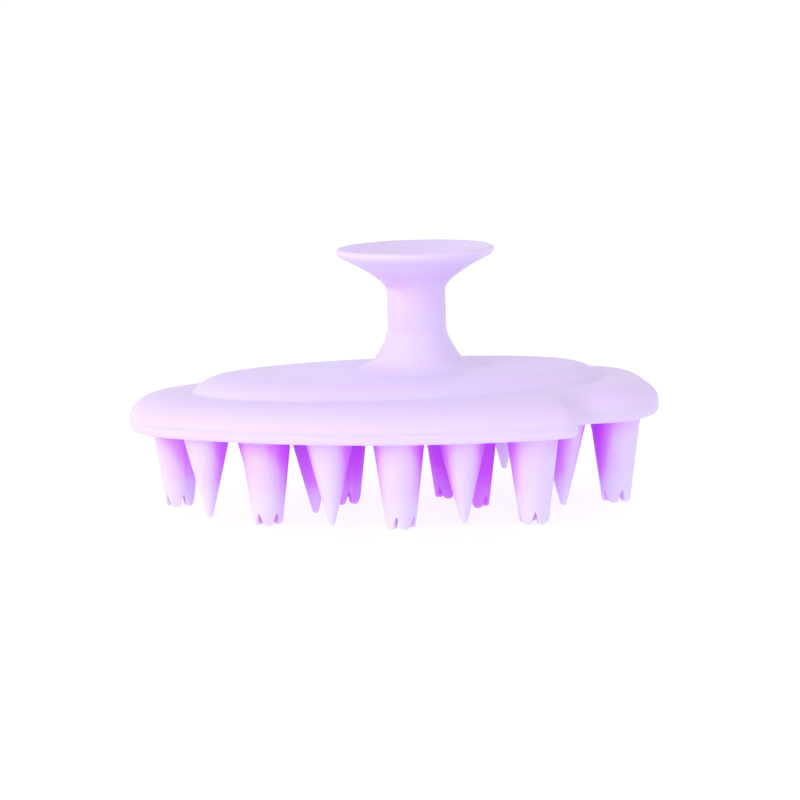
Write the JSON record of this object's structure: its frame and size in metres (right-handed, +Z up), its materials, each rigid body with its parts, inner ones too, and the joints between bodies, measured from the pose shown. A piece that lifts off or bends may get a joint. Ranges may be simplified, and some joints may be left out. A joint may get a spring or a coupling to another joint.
{
  "type": "scalp massager brush",
  "caption": "Hand-held scalp massager: a dished disc grip on a slender neck, an oval base with a stepped nose, and soft crown-ended and pointed teeth that each flex at the root.",
  "frame": {"origin": "middle of the base's length and width, on the surface that the tooth tips stand on", "axes": "+X along the base towards the stepped nose, +Z up through the grip; the XZ plane halves the base"},
  "size_m": [0.0992, 0.0638, 0.0482],
  "materials": {
    "grip_silicone": "smooth matte translucent lilac silicone",
    "cover_silicone": "smooth matte translucent lilac silicone",
    "core_plastic": "plain white moulded plastic, hidden",
    "pad_silicone": "smooth matte translucent lilac silicone",
    "tooth_silicone": "smooth matte translucent lilac silicone"
  },
  "bodies": {
    "base": {"top_cover": "cover_silicone", "core_plate": "core_plastic", "bristle_pad": "pad_silicone"},
    "grip_body": {"grip": "grip_silicone"},
    "crown_tooth_1_body": {"crown_tooth_1": "tooth_silicone"},
    "crown_tooth_2_body": {"crown_tooth_2": "tooth_silicone"},
    "crown_tooth_3_body": {"crown_tooth_3": "tooth_silicone"},
    "crown_tooth_4_body": {"crown_tooth_4": "tooth_silicone"},
    "crown_tooth_5_body": {"crown_tooth_5": "tooth_silicone"},
    "crown_tooth_6_body": {"crown_tooth_6": "tooth_silicone"},
    "crown_tooth_7_body": {"crown_tooth_7": "tooth_silicone"},
    "crown_tooth_8_body": {"crown_tooth_8": "tooth_silicone"},
    "crown_tooth_9_body": {"crown_tooth_9": "tooth_silicone"},
    "crown_tooth_10_body": {"crown_tooth_10": "tooth_silicone"},
    "crown_tooth_11_body": {"crown_tooth_11": "tooth_silicone"},
    "crown_tooth_12_body": {"crown_tooth_12": "tooth_silicone"},
    "cone_tooth_1_body": {"cone_tooth_1": "tooth_silicone"},
    "cone_tooth_2_body": {"cone_tooth_2": "tooth_silicone"},
    "cone_tooth_3_body": {"cone_tooth_3": "tooth_silicone"},
    "cone_tooth_4_body": {"cone_tooth_4": "tooth_silicone"},
    "cone_tooth_5_body": {"cone_tooth_5": "tooth_silicone"},
    "cone_tooth_6_body": {"cone_tooth_6": "tooth_silicone"},
    "cone_tooth_7_body": {"cone_tooth_7": "tooth_silicone"},
    "cone_tooth_8_body": {"cone_tooth_8": "tooth_silicone"},
    "cone_tooth_9_body": {"cone_tooth_9": "tooth_silicone"},
    "cone_tooth_10_body": {"cone_tooth_10": "tooth_silicone"},
    "cone_tooth_11_body": {"cone_tooth_11": "tooth_silicone"},
    "cone_tooth_12_body": {"cone_tooth_12": "tooth_silicone"},
    "cone_tooth_13_body": {"cone_tooth_13": "tooth_silicone"},
    "cone_tooth_14_body": {"cone_tooth_14": "tooth_silicone"}
  },
  "joints": [
    {"name": "neck_flex", "type": "hinge", "parent": "base", "child": "grip_body", "pos_m": [0.0048, 0, 0.0354], "axis": [1, 0, 0], "range_deg": [-8, 8], "stiffness_Nm_per_rad": 0.5},
    {"name": "crown_tooth_1_flex", "type": "hinge", "parent": "base", "child": "crown_tooth_1_body", "pos_m": [-0.041, 0.0056, 0.0161], "axis": [0.1322, 0.9912, 0], "range_deg": [-12, 12], "stiffness_Nm_per_rad": 0.05},
    {"name": "crown_tooth_2_flex", "type": "hinge", "parent": "base", "child": "crown_tooth_2_body", "pos_m": [-0.0248, -0.0146, 0.0161], "axis": [-0.4925, 0.8703, 0], "range_deg": [-12, 12], "stiffness_Nm_per_rad": 0.05},
    {"name": "crown_tooth_3_flex", "type": "hinge", "parent": "base", "child": "crown_tooth_3_body", "pos_m": [-0.0013, -0.0232, 0.0161], "axis": [-0.9951, 0.0987, 0], "range_deg": [-12, 12], "stiffness_Nm_per_rad": 0.05},
    {"name": "crown_tooth_4_flex", "type": "hinge", "parent": "base", "child": "crown_tooth_4_body", "pos_m": [0.0226, -0.0246, 0.0161], "axis": [-0.7514, -0.6598, 0], "range_deg": [-12, 12], "stiffness_Nm_per_rad": 0.05},
    {"name": "crown_tooth_5_flex", "type": "hinge", "parent": "base", "child": "crown_tooth_5_body", "pos_m": [0.0405, -0.0093, 0.0161], "axis": [-0.2292, -0.9734, 0], "range_deg": [-12, 12], "stiffness_Nm_per_rad": 0.05},
    {"name": "crown_tooth_6_flex", "type": "hinge", "parent": "base", "child": "crown_tooth_6_body", "pos_m": [0.0328, 0.0115, 0.0161], "axis": [0.3401, -0.9404, 0], "range_deg": [-12, 12], "stiffness_Nm_per_rad": 0.05},
    {"name": "crown_tooth_7_flex", "type": "hinge", "parent": "base", "child": "crown_tooth_7_body", "pos_m": [0.0125, 0.0244, 0.0161], "axis": [0.9046, -0.4263, 0], "range_deg": [-12, 12], "stiffness_Nm_per_rad": 0.05},
    {"name": "crown_tooth_8_flex", "type": "hinge", "parent": "base", "child": "crown_tooth_8_body", "pos_m": [-0.014, 0.0204, 0.0161], "axis": [0.8057, 0.5924, 0], "range_deg": [-12, 12], "stiffness_Nm_per_rad": 0.05},
    {"name": "crown_tooth_9_flex", "type": "hinge", "parent": "base", "child": "crown_tooth_9_body", "pos_m": [-0.0096, 0.0003, 0.0161], "axis": [0.0283, 0.9996, 0], "range_deg": [-12, 12], "stiffness_Nm_per_rad": 0.05},
    {"name": "crown_tooth_10_flex", "type": "hinge", "parent": "base", "child": "crown_tooth_10_body", "pos_m": [0.0102, 0.0015, 0.0161], "axis": [0.1609, -0.987, 0], "range_deg": [-12, 12], "stiffness_Nm_per_rad": 0.05},
    {"name": "crown_tooth_11_flex", "type": "hinge", "parent": "base", "child": "crown_tooth_11_body", "pos_m": [0.014, -0.008, 0.0161], "axis": [-0.5241, -0.8517, 0], "range_deg": [-12, 12], "stiffness_Nm_per_rad": 0.05},
    {"name": "crown_tooth_12_flex", "type": "hinge", "parent": "base", "child": "crown_tooth_12_body", "pos_m": [0.0255, -0.003, 0.0161], "axis": [-0.1215, -0.9926, 0], "range_deg": [-12, 12], "stiffness_Nm_per_rad": 0.05},
    {"name": "cone_tooth_1_flex", "type": "hinge", "parent": "base", "child": "cone_tooth_1_body", "pos_m": [-0.0354, -0.0089, 0.0161], "axis": [-0.2375, 0.9714, 0], "range_deg": [-12, 12], "stiffness_Nm_per_rad": 0.05},
    {"name": "cone_tooth_2_flex", "type": "hinge", "parent": "base", "child": "cone_tooth_2_body", "pos_m": [-0.0135, -0.0202, 0.0161], "axis": [-0.8124, 0.5831, 0], "range_deg": [-12, 12], "stiffness_Nm_per_rad": 0.05},
    {"name": "cone_tooth_3_flex", "type": "hinge", "parent": "base", "child": "cone_tooth_3_body", "pos_m": [0.01, -0.0242, 0.0161], "axis": [-0.9373, -0.3486, 0], "range_deg": [-12, 12], "stiffness_Nm_per_rad": 0.05},
    {"name": "cone_tooth_4_flex", "type": "hinge", "parent": "base", "child": "cone_tooth_4_body", "pos_m": [0.0299, -0.013, 0.0161], "axis": [-0.4102, -0.912, 0], "range_deg": [-12, 12], "stiffness_Nm_per_rad": 0.05},
    {"name": "cone_tooth_5_flex", "type": "hinge", "parent": "base", "child": "cone_tooth_5_body", "pos_m": [0.0415, 0.0025, 0.0161], "axis": [0.0616, -0.9981, 0], "range_deg": [-12, 12], "stiffness_Nm_per_rad": 0.05},
    {"name": "cone_tooth_6_flex", "type": "hinge", "parent": "base", "child": "cone_tooth_6_body", "pos_m": [0.024, 0.0236, 0.0161], "axis": [0.7162, -0.6979, 0], "range_deg": [-12, 12], "stiffness_Nm_per_rad": 0.05},
    {"name": "cone_tooth_7_flex", "type": "hinge", "parent": "base", "child": "cone_tooth_7_body", "pos_m": [0, 0.024, 0.0161], "axis": [0.9991, 0.0416, 0], "range_deg": [-12, 12], "stiffness_Nm_per_rad": 0.05},
    {"name": "cone_tooth_8_flex", "type": "hinge", "parent": "base", "child": "cone_tooth_8_body", "pos_m": [-0.0265, 0.0153, 0.0161], "axis": [0.4862, 0.8739, 0], "range_deg": [-12, 12], "stiffness_Nm_per_rad": 0.05},
    {"name": "cone_tooth_9_flex", "type": "hinge", "parent": "base", "child": "cone_tooth_9_body", "pos_m": [-0.0262, 0.001, 0.0161], "axis": [0.0367, 0.9993, 0], "range_deg": [-12, 12], "stiffness_Nm_per_rad": 0.05},
    {"name": "cone_tooth_10_flex", "type": "hinge", "parent": "base", "child": "cone_tooth_10_body", "pos_m": [-0.0159, -0.0096, 0.0161], "axis": [-0.4939, 0.8695, 0], "range_deg": [-12, 12], "stiffness_Nm_per_rad": 0.05},
    {"name": "cone_tooth_11_flex", "type": "hinge", "parent": "base", "child": "cone_tooth_11_body", "pos_m": [0.0015, 0.012, 0.0161], "axis": [0.9991, -0.0416, 0], "range_deg": [-12, 12], "stiffness_Nm_per_rad": 0.05},
    {"name": "cone_tooth_12_flex", "type": "hinge", "parent": "base", "child": "cone_tooth_12_body", "pos_m": [0.016, 0.0125, 0.0161], "axis": [0.6402, -0.7682, 0], "range_deg": [-12, 12], "stiffness_Nm_per_rad": 0.05},
    {"name": "cone_tooth_13_flex", "type": "hinge", "parent": "base", "child": "cone_tooth_13_body", "pos_m": [-0.0125, 0.0106, 0.0161], "axis": [0.6176, 0.7865, 0], "range_deg": [-12, 12], "stiffness_Nm_per_rad": 0.05},
    {"name": "cone_tooth_14_flex", "type": "hinge", "parent": "base", "child": "cone_tooth_14_body", "pos_m": [0.0003, -0.0115, 0.0161], "axis": [-0.9982, 0.0608, 0], "range_deg": [-12, 12], "stiffness_Nm_per_rad": 0.05}
  ]
}
